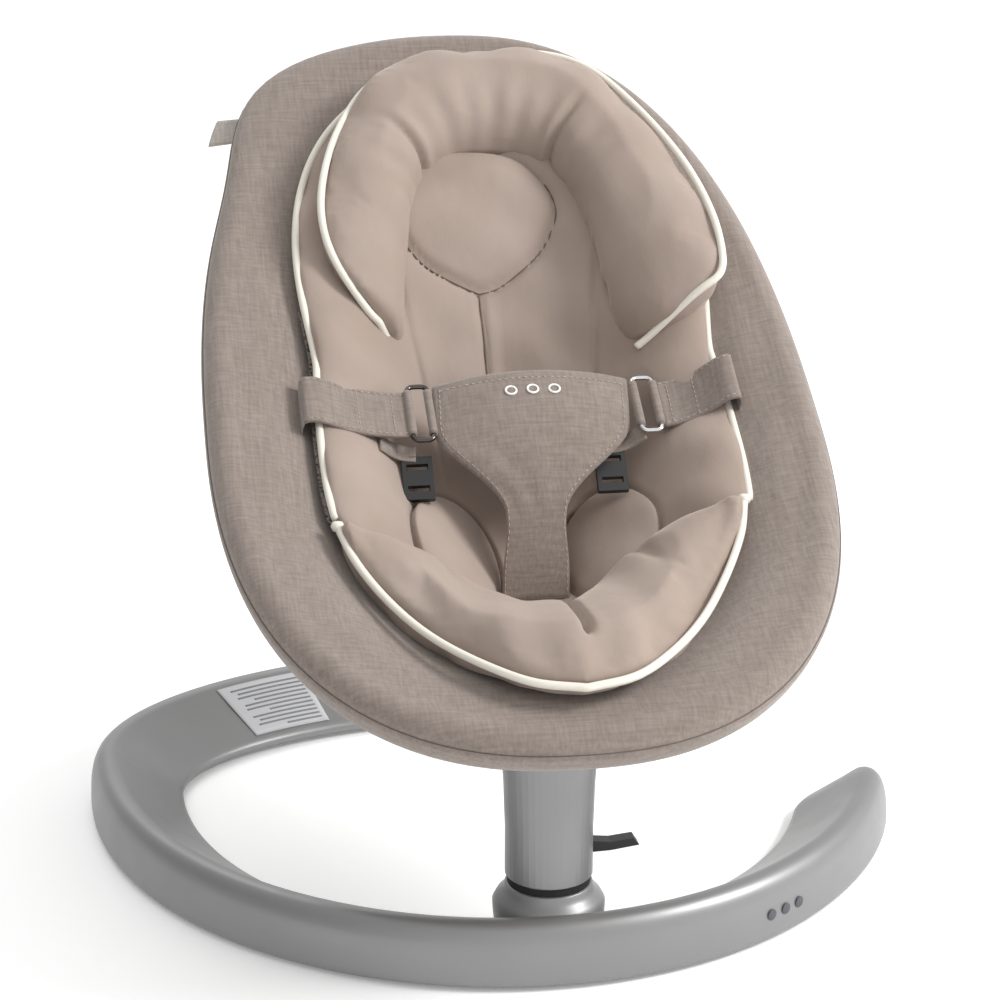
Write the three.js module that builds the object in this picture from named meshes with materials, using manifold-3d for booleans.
// Baby bouncer seat: a padded fabric seat on a tube frame that sways on a short post, which stands on a cast open ring.
// Millimetres, +Z up. The origin is on the floor under the post axis and the foot end of the seat points to -Y.
import * as THREE from "three";
import Module from "manifold-3d";

const wasm = await Module();
wasm.setup();

// ---- base ring ----
const RING_HALF_WIDTH = 340;
const RING_FRONT_DEPTH = 374; // front edge to the widest line
const RING_BACK_DEPTH = 213; // widest line to the back edge
const RING_FRONT_Y = -64;
const RING_WIDTH = 78; // outer wall to inner edge
const RING_BOTTOM = 3;
const RING_TOP = 52;
const RING_RIGHT_END = THREE.MathUtils.degToRad(74);
const RING_LEFT_END = THREE.MathUtils.degToRad(-186);
const PAD_RADIUS = 13;
const GAP = 0.3; // clearance between touching pieces

// ---- post ----
const NECK_RADIUS = 33;
const NECK_TOP = 60;
const GASKET_TOP = 66;
const SLEEVE_BOTTOM = GASKET_TOP + GAP;
const SLEEVE_TOP = 186;
const SLEEVE_RADIUS_TOP = 36;
const SHAFT_RADIUS = 12;
const SHAFT_FOOT = 10;
const SHAFT_TOP = 158;
const SCREW_HEAD_RADIUS = 8;
const SCREW_SHANK_RADIUS = 4;
const BUSH_RADIUS = 15.7;
const SPRING_CAVITY_RADIUS = 23;
const SPRING_RADIUS = 18;
const HUB = { y: 58, z: 178, radius: 26, halfLength: 20 };
const PIN_RADIUS = 6;
const LOCK = { x: 29, y: 10, z: 82 };
const BRAKE_GAP = 2.2; // rest gap between the brake pin and the gasket

// ---- seat, in its own frame: x across, y from foot end to head end, z out of the seat ----
const SEAT_FOOT = new THREE.Vector3(0, -140, 218);
const SEAT_ANGLE = THREE.MathUtils.degToRad(29.65);
const SEAT_LENGTH = 788;
const SEAT_HALF_WIDTH = 238;
const WIDEST = 330; // foot end to the widest line
const OUTLINE_POWER = 2.4;
const RIM_SAG = 20;
const TUBE_RADIUS = 11;
const COVER_RADIUS = 15.5; // tube axis to the outside of the cover
const COVER_BORE = 12.2;
const RIM_STATIONS = 44; // shared by the tubes and the cover, so that their facets run side by side
const COVER_THICKNESS = 4;
const BOWL_POLE = 270;
const BOWL_RIM = 12;
const BOWL_DEPTH = 150;
const INSERT_EDGE = { side: 0.72, head: 0.93 }; // share of the seat surface that the insert covers
const INSERT_THICKNESS = 20;
const PAD_LIFT = 2; // clearance between the cover and the pads on it
const TAU = Math.PI * 2;

const V = (x, y, z) => new THREE.Vector3(x, y, z);
const lerp = THREE.MathUtils.lerp;
const smooth = THREE.MathUtils.smoothstep;

// ---------------------------------------------------------------- helpers

// A closed solid through a list of sections. Each section is a loop of an even number of points whose first half
// faces its second half, so that the two ends can be capped by strips. Quads that shrink to an edge are dropped.
function loft(sections, closed = false) {
  const corners = [];
  const triangle = (a, b, c) => {
    const flat = [a, b, c].some((p, i, all) => p.distanceTo(all[(i + 1) % 3]) < 1e-4);
    if (!flat) corners.push(a, b, c);
  };
  const quad = (a, b, c, d) => {
    triangle(a, b, c);
    triangle(a, c, d);
  };
  const count = sections[0].length;
  const last = closed ? sections.length : sections.length - 1;
  for (let i = 0; i < last; i += 1) {
    const here = sections[i];
    const next = sections[(i + 1) % sections.length];
    for (let j = 0; j < count; j += 1) {
      const k = (j + 1) % count;
      quad(here[j], here[k], next[k], next[j]);
    }
  }
  if (!closed) {
    for (const [ring, front] of [[sections[0], true], [sections[sections.length - 1], false]]) {
      for (let j = 0; j < count / 2 - 1; j += 1) {
        const strip = [ring[j], ring[count - 1 - j], ring[count - 2 - j], ring[j + 1]];
        if (!front) strip.reverse();
        quad(...strip);
      }
    }
  }
  let volume = 0;
  for (let i = 0; i < corners.length; i += 3) {
    volume += corners[i].dot(corners[i + 1].clone().cross(corners[i + 2]));
  }
  if (volume < 0) corners.reverse();
  return new THREE.BufferGeometry().setFromPoints(corners);
}

// Section loops of a thin piece: its top points one way and its bottom points back.
const strip = (top, bottom) => [...top, ...bottom.slice().reverse()];

const steps = (n, from = 0, to = 1) => Array.from({ length: n + 1 }, (_, i) => lerp(from, to, i / n));

// A round rod along path(t), t from 0 to 1, with its radius as a function of t.
function rod(path, radius, { count = 40, sides = 10, closed = false } = {}) {
  const at = typeof radius === "function" ? radius : () => radius;
  const stations = closed ? steps(count).slice(0, -1) : steps(count);
  const sections = stations.map((t) => {
    const small = 1e-3;
    const before = closed ? path((t - small + 1) % 1) : path(Math.max(0, t - small));
    const after = closed ? path((t + small) % 1) : path(Math.min(1, t + small));
    const along = after.clone().sub(before).normalize();
    const helper = Math.abs(along.z) > 0.9 ? V(0, 1, 0) : V(0, 0, 1);
    const side = along.clone().cross(helper).normalize();
    const up = side.clone().cross(along);
    return Array.from({ length: sides }, (_, j) => {
      const a = ((j + 0.5) / sides) * TAU;
      return path(t)
        .addScaledVector(side, Math.cos(a) * at(t))
        .addScaledVector(up, Math.sin(a) * at(t));
    });
  });
  return loft(sections, closed);
}

// A solid of revolution about a line parallel to axis "x", "y" or "z", from a closed profile of [radius, height] points.
function turned(profile, { axis = "z", at = V(0, 0, 0), sides = 24 } = {}) {
  const points = [...profile, profile[0]].map(([r, h]) => new THREE.Vector2(r, h));
  const made = new THREE.LatheGeometry(points, sides);
  made.rotateX(Math.PI / 2);
  if (axis === "x") made.rotateY(Math.PI / 2);
  if (axis === "y") made.rotateX(-Math.PI / 2);
  return made.translate(at.x, at.y, at.z);
}

const disc = (radius, from, to, options) =>
  turned([[0, from], [radius, from], [radius, to], [0, to]], options);
const tubeRing = (inner, outer, from, to, options) =>
  turned([[inner, from], [outer, from], [outer, to], [inner, to]], options);
const box = (x, y, z, w, d, h) => new THREE.BoxGeometry(w, d, h).translate(x, y, z);

// three.js geometry to a manifold-3d solid and back.
function solid(geometry) {
  const flat = geometry.index ? geometry.toNonIndexed() : geometry;
  const position = flat.getAttribute("position");
  const keys = new Map();
  const vertices = [];
  const triangles = [];
  for (let i = 0; i < position.count; i += 1) {
    const p = [position.getX(i), position.getY(i), position.getZ(i)];
    const key = p.map((n) => Math.round(n * 1e4)).join();
    if (!keys.has(key)) {
      keys.set(key, keys.size);
      vertices.push(...p);
    }
    triangles.push(keys.get(key));
  }
  const kept = [];
  for (let i = 0; i < triangles.length; i += 3) {
    const [a, b, c] = triangles.slice(i, i + 3);
    if (a !== b && b !== c && a !== c) kept.push(a, b, c);
  }
  const mesh = new wasm.Mesh({
    numProp: 3,
    vertProperties: new Float32Array(vertices),
    triVerts: new Uint32Array(kept),
  });
  const made = new wasm.Manifold(mesh);
  if (made.volume() >= 0) return made;
  for (let i = 0; i < kept.length; i += 3) [kept[i + 1], kept[i + 2]] = [kept[i + 2], kept[i + 1]];
  mesh.triVerts = new Uint32Array(kept);
  return new wasm.Manifold(mesh);
}

function geometryOf(made) {
  const mesh = made.getMesh();
  const position = new Float32Array(mesh.numVert * 3);
  for (let i = 0; i < mesh.numVert; i += 1) {
    position.set(mesh.vertProperties.subarray(i * mesh.numProp, i * mesh.numProp + 3), i * 3);
  }
  return new THREE.BufferGeometry()
    .setAttribute("position", new THREE.BufferAttribute(position, 3))
    .setIndex(new THREE.BufferAttribute(mesh.triVerts, 1));
}

// Joins the first list of geometries and cuts the second list from it.
function carve(joined, cut = []) {
  let made = joined.map(solid).reduce((a, b) => a.add(b));
  for (const geometry of cut) made = made.subtract(solid(geometry));
  return geometryOf(made);
}

const MATERIALS = {
  castAluminium: { color: 0x9a9ca0, roughness: 0.38, metalness: 0.9 },
  steel: { color: 0x8c8e92, roughness: 0.25, metalness: 1 },
  chrome: { color: 0xc9cacc, roughness: 0.12, metalness: 1 },
  springSteel: { color: 0x55575b, roughness: 0.4, metalness: 1 },
  powderCoat: { color: 0x6d6f72, roughness: 0.5, metalness: 0.6 },
  blackNylon: { color: 0x1c1c1e, roughness: 0.5, metalness: 0 },
  acetal: { color: 0xdddcd6, roughness: 0.45, metalness: 0 },
  rubber: { color: 0x141414, roughness: 0.9, metalness: 0 },
  linen: { color: 0x9f9188, roughness: 0.95, metalness: 0 },
  jersey: { color: 0xb7a79d, roughness: 0.9, metalness: 0 },
  tagTape: { color: 0xa39a92, roughness: 0.9, metalness: 0 },
  paperLabel: { color: 0xb9babc, roughness: 0.6, metalness: 0 },
};

function add(group, name, geometry, finish) {
  const made = new THREE.Mesh(geometry, new THREE.MeshStandardMaterial(MATERIALS[finish]));
  made.name = name;
  group.add(made);
}

// ---------------------------------------------------------------- base

// A point of the ring plan: theta turns from the front, inset goes inward from the outer wall.
function ringPoint(theta, inset, z) {
  const depth = Math.cos(theta) > 0 ? RING_FRONT_DEPTH : RING_BACK_DEPTH;
  const x = (RING_HALF_WIDTH - inset) * Math.sin(theta);
  const y = RING_FRONT_Y + RING_FRONT_DEPTH - (depth - inset) * Math.cos(theta);
  return V(x, y, z);
}

// The cast wedge section as [inset, z]: a steep outer wall, a rounded crest and a long slope down to a small inner lip.
const SLOPE_START = [22, RING_TOP - 1];
const SLOPE_END = [74, 14];
const RING_SECTION = [
  [3, RING_BOTTOM],
  [0, 7],
  [0.5, 22],
  [3, 40],
  [8, RING_TOP - 3],
  [14, RING_TOP],
  SLOPE_START,
  SLOPE_END,
  [RING_WIDTH, 10],
  [RING_WIDTH - 1, RING_BOTTOM + 1],
  [60, RING_BOTTOM],
  [48, RING_BOTTOM],
  [30, RING_BOTTOM],
  [14, RING_BOTTOM],
];

function baseRing() {
  const middle = [RING_WIDTH / 2, 22];
  const endLength = THREE.MathUtils.degToRad(7);
  const roundSteps = 5;
  const ends = [];
  for (let i = 0; i < roundSteps; i += 1) ends.push((i / roundSteps) * endLength);
  const thetas = [
    ...ends.map((a) => [RING_LEFT_END + a, a / endLength]),
    ...steps(40, RING_LEFT_END + endLength, RING_RIGHT_END - endLength).map((a) => [a, 1]),
    ...ends.reverse().map((a) => [RING_RIGHT_END - a, a / endLength]),
  ];
  const sections = thetas.map(([theta, share]) => {
    const scale = 0.12 + 0.88 * Math.sqrt(1 - (1 - share) ** 2);
    return RING_SECTION.map(([inset, z]) =>
      ringPoint(theta, lerp(middle[0], inset, scale), RING_BOTTOM + lerp(middle[1] * (1 - share), z - RING_BOTTOM, scale)),
    );
  });
  const neck = turned(
    [
      [0, RING_BOTTOM],
      [NECK_RADIUS + 1, RING_BOTTOM],
      [NECK_RADIUS + 7, 30],
      [NECK_RADIUS + 6, 46],
      [NECK_RADIUS + 2, 52],
      [NECK_RADIUS, 57],
      [NECK_RADIUS, NECK_TOP],
      [0, NECK_TOP],
    ],
    { sides: 40 },
  );
  const shaftBore = disc(SHAFT_RADIUS + GAP, SHAFT_FOOT - GAP, NECK_TOP + 1);
  const screwRecess = disc(SCREW_HEAD_RADIUS + GAP, RING_BOTTOM - 1, SHAFT_FOOT);
  return carve([loft(sections), neck], [shaftBore, screwRecess]);
}

// Rating label stuck to the inner slope at the left of the ring, following its curve.
function ratingLabel() {
  const [from, to] = [-152, -134].map(THREE.MathUtils.degToRad);
  const slope = (share, lift) => {
    const inset = lerp(SLOPE_START[0], SLOPE_END[0], share);
    const z = lerp(SLOPE_START[1], SLOPE_END[1], share);
    return [inset + lift * 0.58, z + lift * 0.82];
  };
  const sections = steps(8, from, to).map((theta) => {
    const edge = (lift) => steps(4, 0.1, 0.92).map((s) => ringPoint(theta, ...slope(s, lift)));
    return strip(edge(0.9), edge(0.5));
  });
  return loft(sections);
}

// Rubber feet under the ring, named by where they stand.
const FEET = {
  post: [0, 0],
  front_left: [-48, 45],
  front_right: [48, 45],
  left: [-92, 40],
  back_left: [-136, 40],
  back: [-176, 40],
};

function addBase(group) {
  add(group, "base_ring", baseRing(), "castAluminium");
  for (const [name, [degrees, inset]] of Object.entries(FEET)) {
    const at = name === "post" ? V(0, 0, 0) : ringPoint(THREE.MathUtils.degToRad(degrees), inset, 0);
    add(group, `foot_pad_${name}`, disc(PAD_RADIUS, 0, RING_BOTTOM - GAP, { at }), "rubber");
  }
  add(group, "rating_label", ratingLabel(), "paperLabel");
  const gasket = tubeRing(SHAFT_RADIUS + GAP, NECK_RADIUS - 1.5, NECK_TOP + GAP, GASKET_TOP, { sides: 40 });
  add(group, "gasket_ring", carve([gasket]), "rubber");
  const shaft = turned([
    [0, SHAFT_FOOT],
    [SHAFT_RADIUS, SHAFT_FOOT],
    [SHAFT_RADIUS, SHAFT_TOP - 8],
    [SHAFT_RADIUS - 2, SHAFT_TOP - 8],
    [SHAFT_RADIUS - 2, SHAFT_TOP - 5],
    [SHAFT_RADIUS, SHAFT_TOP - 5],
    [SHAFT_RADIUS - 1, SHAFT_TOP],
    [0, SHAFT_TOP],
  ]);
  const screwBore = disc(SCREW_SHANK_RADIUS + GAP, SHAFT_FOOT - 1, 34, { sides: 16 });
  add(group, "pivot_shaft", carve([shaft], [screwBore]), "steel");
  const screw = turned([
    [0, RING_BOTTOM + 1],
    [SCREW_HEAD_RADIUS, RING_BOTTOM + 1],
    [SCREW_HEAD_RADIUS, SHAFT_FOOT - GAP],
    [SCREW_SHANK_RADIUS, SHAFT_FOOT - GAP],
    [SCREW_SHANK_RADIUS, 32],
    [0, 32],
  ], { sides: 16 });
  add(group, "shaft_screw", screw, "steel");
  const clip = tubeRing(SHAFT_RADIUS - 2 + GAP, BUSH_RADIUS, SHAFT_TOP - 8 + GAP, SHAFT_TOP - 5 - GAP);
  add(group, "retaining_ring", clip, "springSteel");
}

// ---------------------------------------------------------------- post, turning on the shaft

const BUSHES = { lower: [SLEEVE_BOTTOM + 1, SLEEVE_BOTTOM + 14], upper: [136, SHAFT_TOP - 8 - GAP] };

function postSleeve() {
  const outside = turned(
    [
      [0, SLEEVE_BOTTOM],
      [NECK_RADIUS - 1, SLEEVE_BOTTOM],
      [NECK_RADIUS, SLEEVE_BOTTOM + 1],
      [NECK_RADIUS, 104],
      [NECK_RADIUS + 1.2, 140],
      [SLEEVE_RADIUS_TOP, 168],
      [SLEEVE_RADIUS_TOP, SLEEVE_TOP - 6],
      [SLEEVE_RADIUS_TOP - 5, SLEEVE_TOP],
      [0, SLEEVE_TOP],
    ],
    { sides: 40 },
  );
  const across = (radius, half) => disc(radius, -half, half, { axis: "x", at: V(0, HUB.y, HUB.z), sides: 36 });
  const web = box(0, HUB.y / 2, HUB.z - 8, HUB.halfLength * 2, HUB.y, 34);
  const bore = disc(BUSH_RADIUS + GAP, SLEEVE_BOTTOM - 1, SHAFT_TOP + 6);
  const cavity = disc(SPRING_CAVITY_RADIUS, BUSHES.lower[1] + 3, BUSHES.upper[0] - 2);
  const slot = box(LOCK.x + 6, LOCK.y, LOCK.z - 3, 24, 14, 18);
  const pinHole = disc(3.4, SLEEVE_BOTTOM - 1, LOCK.z, { at: V(LOCK.x - 5, LOCK.y, 0), sides: 12 });
  return carve(
    [outside, across(HUB.radius, HUB.halfLength), web],
    [bore, cavity, slot, pinHole, across(PIN_RADIUS + GAP, HUB.halfLength + 1)],
  );
}

function centringSpring() {
  const turns = 5;
  const [low, high] = [BUSHES.lower[1] + 6, BUSHES.upper[0] - 5];
  const helix = (t) => {
    const a = t * turns * TAU;
    return V(Math.cos(a) * SPRING_RADIUS, Math.sin(a) * SPRING_RADIUS, lerp(low, high, t));
  };
  return rod(helix, 1.6, { count: turns * 10, sides: 5 });
}

function addPost(group) {
  add(group, "post_sleeve", postSleeve(), "castAluminium");
  for (const [name, [from, to]] of Object.entries(BUSHES)) {
    add(group, `bush_${name}`, tubeRing(SHAFT_RADIUS + GAP, BUSH_RADIUS, from, to), "acetal");
  }
  add(group, "centring_spring", centringSpring(), "springSteel");
  const pin = { axis: "x", at: V(0, HUB.y, HUB.z), sides: 24 };
  add(group, "recline_pin", disc(PIN_RADIUS, -HUB.halfLength - 16, HUB.halfLength + 16, pin), "steel");
  const teeth = 18;
  const sector = Array.from({ length: teeth }, (_, i) =>
    box(0, 0, 0, 3.6, 4, 5)
      .translate(0, 0, HUB.radius - 3)
      .rotateX((i / teeth) * TAU)
      .translate(-HUB.halfLength - 2.2, HUB.y, HUB.z),
  );
  const plate = tubeRing(PIN_RADIUS + GAP, HUB.radius - 4, -1.8, 1.8, {
    ...pin,
    at: V(-HUB.halfLength - 2.2, HUB.y, HUB.z),
  });
  add(group, "detent_plate", carve([plate, ...sector]), "steel");
}

// Sway lock: a lever on the right of the post; lifting its blade drops a brake pin towards the gasket.
function addLock(group) {
  const pivot = { axis: "y", at: V(LOCK.x + 3, 0, LOCK.z), sides: 16 };
  const profile = [
    [-6, -3],
    [2, -4.5],
    [16, -4],
    [38, -1],
    [34, 5],
    [16, 3],
    [2, 4.5],
    [-6, 3],
  ].map(([x, z]) => new THREE.Vector2(x, z));
  const blade = new THREE.ExtrudeGeometry(new THREE.Shape(profile), { depth: 11, bevelEnabled: false });
  blade.rotateX(Math.PI / 2).translate(LOCK.x + 3, LOCK.y + 5.5, LOCK.z);
  const bore = disc(1.8, LOCK.y - 8, LOCK.y + 8, pivot);
  add(group, "lock_lever", carve([blade], [bore]), "blackNylon");
  const foot = { at: V(LOCK.x - 5, LOCK.y, 0), sides: 12 };
  add(group, "lock_pin", disc(3, GASKET_TOP + BRAKE_GAP, LOCK.z - 5.8, foot), "steel");
  add(group, "lock_lever_pin", disc(1.5, LOCK.y - 6.7, LOCK.y + 6.7, pivot), "steel");
}

// ---------------------------------------------------------------- seat

// Half-turn angle t: 0 at the head end, 180 degrees at the foot end. Distance from the widest line's middle.
function outline(t, inset = 0) {
  const reach = (Math.cos(t) > 0 ? SEAT_LENGTH - WIDEST : WIDEST) - inset;
  const half = SEAT_HALF_WIDTH - inset;
  const p = OUTLINE_POWER;
  const r = (Math.abs(Math.cos(t) / reach) ** p + Math.abs(Math.sin(t) / half) ** p) ** (-1 / p);
  const y = WIDEST + r * Math.cos(t);
  const share = y / SEAT_LENGTH;
  return V(r * Math.sin(t), y, -RIM_SAG * 4 * share * (1 - share));
}

// The tube axis runs inside the outline by the cover's radius.
const rim = (t) => outline(t, COVER_RADIUS);

// A point of the seat surface: share 1 is at the tube axis, 0 at the deepest point, lift is the height above the cover.
function surface(t, share, lift = 0) {
  const edge = rim(t);
  const x = edge.x * share;
  const y = lerp(BOWL_POLE, edge.y, share);
  const z = edge.z * share + BOWL_RIM - (BOWL_DEPTH / 2) * (1 + Math.cos(Math.PI * share));
  return V(x, y, z + lift);
}

// Unit vector that points out of the seat across the tube.
function outwardAt(t) {
  const along = rim(t + 1e-3).sub(rim(t - 1e-3));
  return V(-along.y, along.x, 0).normalize();
}

// Fabric cover: hooks round the tube from below, then falls inward as a bowl.
function coverPanel() {
  const wrap = [-120, -70, -20, 30, 75, 112].map(THREE.MathUtils.degToRad);
  const shares = [0.88, 0.76, 0.66, 0.56, 0.45, 0.34, 0.22, 0.1, 0];
  const sections = Array.from({ length: RIM_STATIONS }, (_, i) => {
    const t = (i / RIM_STATIONS) * TAU;
    const centre = rim(t);
    const out = outwardAt(t);
    const hook = (radius) =>
      wrap.map((a) => centre.clone().addScaledVector(out, Math.cos(a) * radius).add(V(0, 0, Math.sin(a) * radius)));
    const bowl = (lift) => shares.map((s) => surface(t, s, lift));
    return strip([...hook(COVER_RADIUS), ...bowl(0)], [...hook(COVER_BORE), ...bowl(-COVER_THICKNESS)]);
  });
  return loft(sections, true);
}

const insertEdge = (t) => lerp(INSERT_EDGE.side, INSERT_EDGE.head, smooth(Math.cos(t), 0.45, 0.98));

// Thickness of the padded insert: full in the middle and thin at its piped edge.
const padHeight = (t, share) => 3 + (INSERT_THICKNESS - 3) * Math.sqrt(1 - Math.min(1, share / insertEdge(t)) ** 4);

function insertPad() {
  const shares = [1, 0.96, 0.86, 0.7, 0.5, 0.28, 0];
  const sections = Array.from({ length: RIM_STATIONS }, (_, i) => {
    const t = (i / RIM_STATIONS) * TAU;
    const level = (height) => shares.map((s) => surface(t, s * insertEdge(t), height(s * insertEdge(t))));
    return strip(level((s) => PAD_LIFT + padHeight(t, s)), level(() => PAD_LIFT));
  });
  return loft(sections, true);
}

// A roll lying on the insert between two shares of the seat surface, tapering to its ends.
function roll(from, to, inner, outerAt, height) {
  const sections = steps(20, from, to).map((t) => {
    const along = (t - from) / (to - from);
    const taper = Math.sqrt(Math.max(0.02, 1 - Math.abs(2 * along - 1) ** 4));
    const outer = outerAt(t);
    const middle = (inner + outer) / 2;
    const level = (lift) =>
      steps(6, -1, 1).map((across) => {
        const share = middle + (across * taper * (outer - inner)) / 2;
        return surface(t, share, lift(share, across));
      });
    const base = (share) => PAD_LIFT + 2 + padHeight(t, share);
    return strip(
      level((share, across) => base(share) + 3 + height * taper * Math.sqrt(1 - across * across)),
      level(base),
    );
  });
  return loft(sections);
}

function wovenTag() {
  const t = THREE.MathUtils.degToRad(-28);
  const size = { out: 22, along: 26, thick: 1.6 };
  const out = outwardAt(t);
  const at = rim(t).addScaledVector(out, COVER_RADIUS + 0.8 + size.out / 2);
  const tag = box(0, 0, 0, size.out, size.along, size.thick);
  return tag.rotateZ(Math.atan2(out.y, out.x)).translate(at.x, at.y, at.z);
}

function addPads(group) {
  add(group, "seat_cover", coverPanel(), "linen");
  add(group, "insert_pad", insertPad(), "jersey");
  const headSpread = THREE.MathUtils.degToRad(52);
  const headOuter = (t) => insertEdge(t) + 0.03 + 0.06 * Math.sin(t) ** 2;
  add(group, "head_bolster", roll(-headSpread, headSpread, 0.5, headOuter, 34), "jersey");
  const legSpread = THREE.MathUtils.degToRad(78);
  add(group, "leg_roll", roll(Math.PI - legSpread, Math.PI + legSpread, 0.44, () => 0.76, 26), "jersey");
  add(group, "woven_tag", wovenTag(), "tagTape");
}

// Frame: an upper tube with two spigots that plug into a lower tube, held by sprung snap buttons.
const SPIGOT_RADIUS = 8.6;
const SPIGOT_LENGTH = 36;
const BUTTON_RADIUS = 3;
const JOINT_Y = WIDEST;
const JOINT_X = SEAT_HALF_WIDTH - COVER_RADIUS;
const JOINT_Z = rim(Math.PI / 2).z;
const BUTTON_Y = JOINT_Y - 18;

function addFrame(group) {
  const halfTurn = Math.PI / 2;
  const upperPath = (t) => rim(lerp(-halfTurn + 0.003, halfTurn - 0.003, t));
  const lowerPath = (t) => rim(lerp(halfTurn + 0.003, 3 * halfTurn - 0.003, t));
  const sides = [-1, 1];
  const along = (radius, from, to, side, seg = 16) =>
    disc(radius, from, to, { axis: "y", at: V(side * JOINT_X, 0, JOINT_Z), sides: seg });
  const hole = (side, radius, from, to) =>
    disc(radius, from, to, { axis: "x", at: V(side * JOINT_X, BUTTON_Y, JOINT_Z), sides: 12 });
  const inward = (side, radius, near, far) =>
    side > 0 ? hole(side, radius, -far, -near) : hole(side, radius, near, far);
  const spigots = sides.map((s) => along(SPIGOT_RADIUS, JOINT_Y - SPIGOT_LENGTH, JOINT_Y + 6, s));
  const upper = carve(
    [rod(upperPath, TUBE_RADIUS, { count: RIM_STATIONS / 2, sides: 10 }), ...spigots],
    sides.map((s) => inward(s, BUTTON_RADIUS + GAP, -2, 14)),
  );
  add(group, "frame_tube_upper", upper, "powderCoat");
  const lower = carve(
    [rod(lowerPath, TUBE_RADIUS, { count: RIM_STATIONS / 2, sides: 10 })],
    [
      ...sides.map((s) => along(SPIGOT_RADIUS + 0.4, JOINT_Y - SPIGOT_LENGTH - 4, JOINT_Y + 8, s)),
      ...sides.map((s) => inward(s, BUTTON_RADIUS + GAP, 4, 14)),
    ],
  );
  add(group, "frame_tube_lower", lower, "powderCoat");
  for (const side of sides) {
    const name = `snap_button_${side < 0 ? "left" : "right"}`;
    add(group, name, inward(side, BUTTON_RADIUS, 2, 13.2), "steel");
  }
}

// Cradle: a casting under the bowl with four arms that reach the tube, and two lugs round the recline pin.
const seatFrameOf = (y, z) => V(0, y, z).sub(SEAT_FOOT).applyAxisAngle(V(1, 0, 0), -SEAT_ANGLE);
const HUB_LOCAL = seatFrameOf(HUB.y, HUB.z);
// Cover's top surface down to the middle of an arm: the arms stand off the bowl and close in on the tube.
const armDrop = (share) => COVER_THICKNESS + lerp(14, 8, smooth(share, 0.72, 1));
const ARM_ANGLES = [62, 128, -128, -62].map(THREE.MathUtils.degToRad);
const SCREW_SHARE = 0.82;
const LUG_X = HUB.halfLength + 9;
const LEVER_PIVOT = V(0, HUB_LOCAL.y + 88, HUB_LOCAL.z - 36);

function cradleArm(t) {
  const halfTall = 5;
  const sections = steps(12, 0.02, 1).map((share) => {
    const point = surface(t, share, -armDrop(share));
    const heading = surface(t, share + 0.01).sub(surface(t, share - 0.01)).setZ(0).normalize();
    const side = V(-heading.y, heading.x, 0);
    const half = lerp(20, 10, smooth(share, 0, 0.9));
    const corner = (a, b) => point.clone().addScaledVector(side, a * half).add(V(0, 0, b * halfTall));
    return [corner(-1, -0.6), corner(-0.8, 1), corner(0.8, 1), corner(1, -0.6), corner(0.8, -1), corner(-0.8, -1)];
  });
  return loft(sections);
}

// A plate of the seat's side view (seat y, seat z) at a place across the seat.
function sidePlate(shape, x, thickness) {
  const plate = new THREE.ExtrudeGeometry(shape, { depth: thickness, bevelEnabled: false, curveSegments: 10 });
  return plate.rotateX(Math.PI / 2).rotateZ(Math.PI / 2).translate(x - thickness / 2, 0, 0);
}

function lug(side) {
  const { y, z } = HUB_LOCAL;
  const shape = new THREE.Shape();
  shape.moveTo(y + 12.7, z + 12.7);
  shape.lineTo(y + 56, z + 3);
  shape.lineTo(y + 96, z - 14);
  shape.lineTo(y + 112, z - 16);
  shape.lineTo(LEVER_PIVOT.y + 8, LEVER_PIVOT.z - 7);
  shape.lineTo(LEVER_PIVOT.y - 8, LEVER_PIVOT.z - 7);
  shape.lineTo(y + 50, z - 26);
  shape.absarc(y, z, 18, -Math.PI * 0.45, Math.PI / 4, true);
  return sidePlate(shape, side * LUG_X, 8);
}

function addCradle(group) {
  const cross = (radius, at) => disc(radius, -60, 60, { axis: "x", at });
  const clearTube = rod((t) => rim(t * TAU), TUBE_RADIUS + 2 * GAP, { count: 3 * RIM_STATIONS, sides: 12, closed: true });
  const screwAt = (t, lift) => surface(t, SCREW_SHARE, lift);
  const screwHole = (t) => disc(2.4, -30, 30, { at: screwAt(t, -armDrop(SCREW_SHARE)), sides: 12 });
  const cradle = carve(
    [...ARM_ANGLES.map(cradleArm), lug(-1), lug(1)],
    [cross(PIN_RADIUS + GAP, HUB_LOCAL), cross(3 + GAP, LEVER_PIVOT), clearTube, ...ARM_ANGLES.map(screwHole)],
  );
  add(group, "seat_cradle", cradle, "blackNylon");
  const corner = ["head_right", "foot_right", "foot_left", "head_left"];
  ARM_ANGLES.forEach((t, i) => {
    const profile = [
      [0, -10],
      [4.6, -10],
      [4.6, -7.5],
      [2, -7.5],
      [2, 4],
      [0, 4],
    ];
    add(group, `cradle_screw_${corner[i]}`, turned(profile, { at: screwAt(t, -armDrop(SCREW_SHARE) - 1), sides: 12 }), "steel");
  });
}

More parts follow.
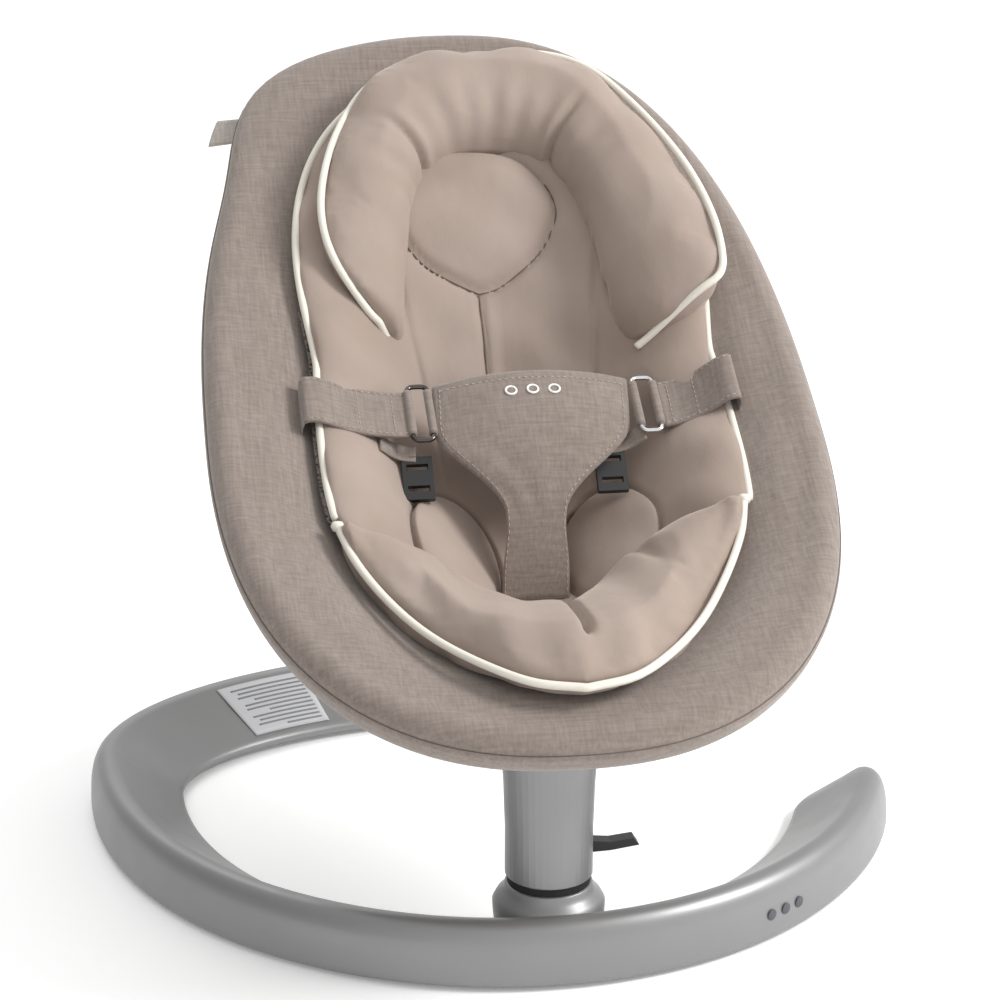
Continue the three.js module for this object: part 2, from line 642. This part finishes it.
// Recline lever: pulled up against the seat, it lifts its pawl out of the detent plate on the hub.
function addRecline(group) {
  const { y, z } = LEVER_PIVOT;
  const handle = new THREE.Shape();
  handle.moveTo(y - 9, z - 5);
  handle.lineTo(y + 10, z - 8);
  handle.lineTo(y + 92, z - 16);
  handle.lineTo(y + 98, z - 12);
  handle.lineTo(y + 92, z - 8);
  handle.lineTo(y + 14, z + 1);
  handle.lineTo(y + 4, z + 8);
  handle.lineTo(y - 6, z + 7);
  const pawl = new THREE.Shape();
  const tip = V(0, HUB_LOCAL.y + 24.2, HUB_LOCAL.z - 14);
  pawl.moveTo(tip.y, tip.z);
  pawl.lineTo(tip.y + 4, tip.z - 9);
  pawl.lineTo(y, z - 6);
  pawl.lineTo(y + 5, z + 5);
  const pivotBore = disc(3 + GAP, -40, 40, { axis: "x", at: LEVER_PIVOT, sides: 16 });
  const springRoom = box(0, y - 2, z + 2, 26, 26, 15);
  const plateX = -HUB.halfLength - 2.2;
  const lever = carve([sidePlate(handle, 0, 40), sidePlate(pawl, plateX + 1.2, 5.4)], [pivotBore, springRoom]);
  add(group, "recline_lever", lever, "blackNylon");
  add(group, "recline_lever_pin", disc(3, -34, 34, { axis: "x", at: LEVER_PIVOT, sides: 16 }), "steel");
  // The torsion spring is closely wound, so its turns are drawn as one sleeve round the lever's pin.
  const wound = tubeRing(3.9, 5.4, -9, 9, { axis: "x", at: LEVER_PIVOT, sides: 24 });
  add(group, "recline_lever_spring", wound, "springSteel");
}

// ---------------------------------------------------------------- harness

const BELT_Y = 378;
const BELT_HALF = 24;
const BELLY_HALF = 78;
const BELLY_LIFT = -18;
const LOOP_STEPS = 32;

// Crotch piece: rises from the seat between the legs and widens into a belly band.
function crotchPiece() {
  const spine = new THREE.QuadraticBezierCurve3(
    V(0, BOWL_POLE - 22, -102),
    V(0, BOWL_POLE + 20, -30),
    V(0, BELT_Y + BELT_HALF + 2, BELLY_LIFT),
  );
  const sections = steps(18).map((s) => {
    const half = lerp(26, BELLY_HALF, smooth(s, 0.35, 0.82));
    const level = (lift) =>
      steps(8, -half, half).map((x) => spine.getPoint(s).add(V(x, 0, lift - 14 * (x / BELLY_HALF) ** 2)));
    return strip(level(2), level(-2));
  });
  return loft(sections);
}

function sideBelt(side) {
  const end = surface(side * THREE.MathUtils.degToRad(80), 0.84, 3.5);
  const sections = steps(8).map((s) => {
    const x = lerp(side * (BELLY_HALF + 23), end.x, s);
    const z = lerp(BELLY_LIFT - 16, end.z, smooth(s, 0, 1));
    const level = (lift) => steps(2, -BELT_HALF, BELT_HALF).map((y) => V(x, BELT_Y + y, z + lift));
    return strip(level(1.5), level(-1.5));
  });
  return loft(sections);
}

function wireLoop(side) {
  const half = { x: 8, y: BELT_HALF + 5 };
  const corner = 5;
  const shape = new THREE.Shape();
  shape.moveTo(-half.x + corner, -half.y);
  for (const [i, turn] of [-0.5, 0, 0.5, 1].entries()) {
    const x = (i === 0 || i === 1 ? 1 : -1) * (half.x - corner);
    const y = (i === 1 || i === 2 ? 1 : -1) * (half.y - corner);
    shape.absarc(x, y, corner, turn * Math.PI, (turn + 0.5) * Math.PI, false);
  }
  shape.closePath();
  const points = shape.getSpacedPoints(LOOP_STEPS);
  const path = (t) => {
    const place = (t % 1) * LOOP_STEPS;
    const low = Math.floor(place);
    const p = points[low].clone().lerp(points[Math.min(low + 1, LOOP_STEPS)], place - low);
    return V(side * (BELLY_HALF + 12) + p.x, BELT_Y + p.y, BELLY_LIFT - 14.5);
  };
  return rod(path, 2, { count: LOOP_STEPS, sides: 6, closed: true });
}

// A plastic ladder-lock buckle that hangs below each belt on a short strap.
function buckle(side) {
  const body = box(0, 0, 0, 24, 36, 6);
  const slots = [-9, 9].map((y) => box(0, y, 0, 17, 5, 10));
  return carve([body], slots).rotateX(0.35).translate(side * 76, 318, -56);
}

function strapTail(side) {
  const from = V(side * 76, 337, -48.2);
  const to = V(side * 104, BELT_Y - BELT_HALF - 2, -36);
  const sections = steps(4).map((s) => {
    const point = from.clone().lerp(to, s);
    const level = (lift) => [-8, 8].map((x) => point.clone().add(V(x, 0, lift)));
    return strip(level(1), level(-1));
  });
  return loft(sections);
}

function addHarness(group) {
  add(group, "crotch_piece", crotchPiece(), "linen");
  for (const side of [-1, 1]) {
    const hand = side < 0 ? "left" : "right";
    add(group, `side_belt_${hand}`, sideBelt(side), "linen");
    add(group, `wire_loop_${hand}`, wireLoop(side), "chrome");
    add(group, `buckle_${hand}`, buckle(side), "blackNylon");
    add(group, `strap_tail_${hand}`, strapTail(side), "linen");
  }
}

// ---------------------------------------------------------------- assembly

const bouncer = new THREE.Group();
const base = new THREE.Group();
const post = new THREE.Group();
const seat = new THREE.Group();
seat.position.copy(SEAT_FOOT);
seat.rotation.x = SEAT_ANGLE;
bouncer.add(base, post, seat);

addBase(base);
addPost(post);
addLock(post);
addPads(seat);
addFrame(seat);
addCradle(seat);
addRecline(seat);
addHarness(seat);

export default bouncer;
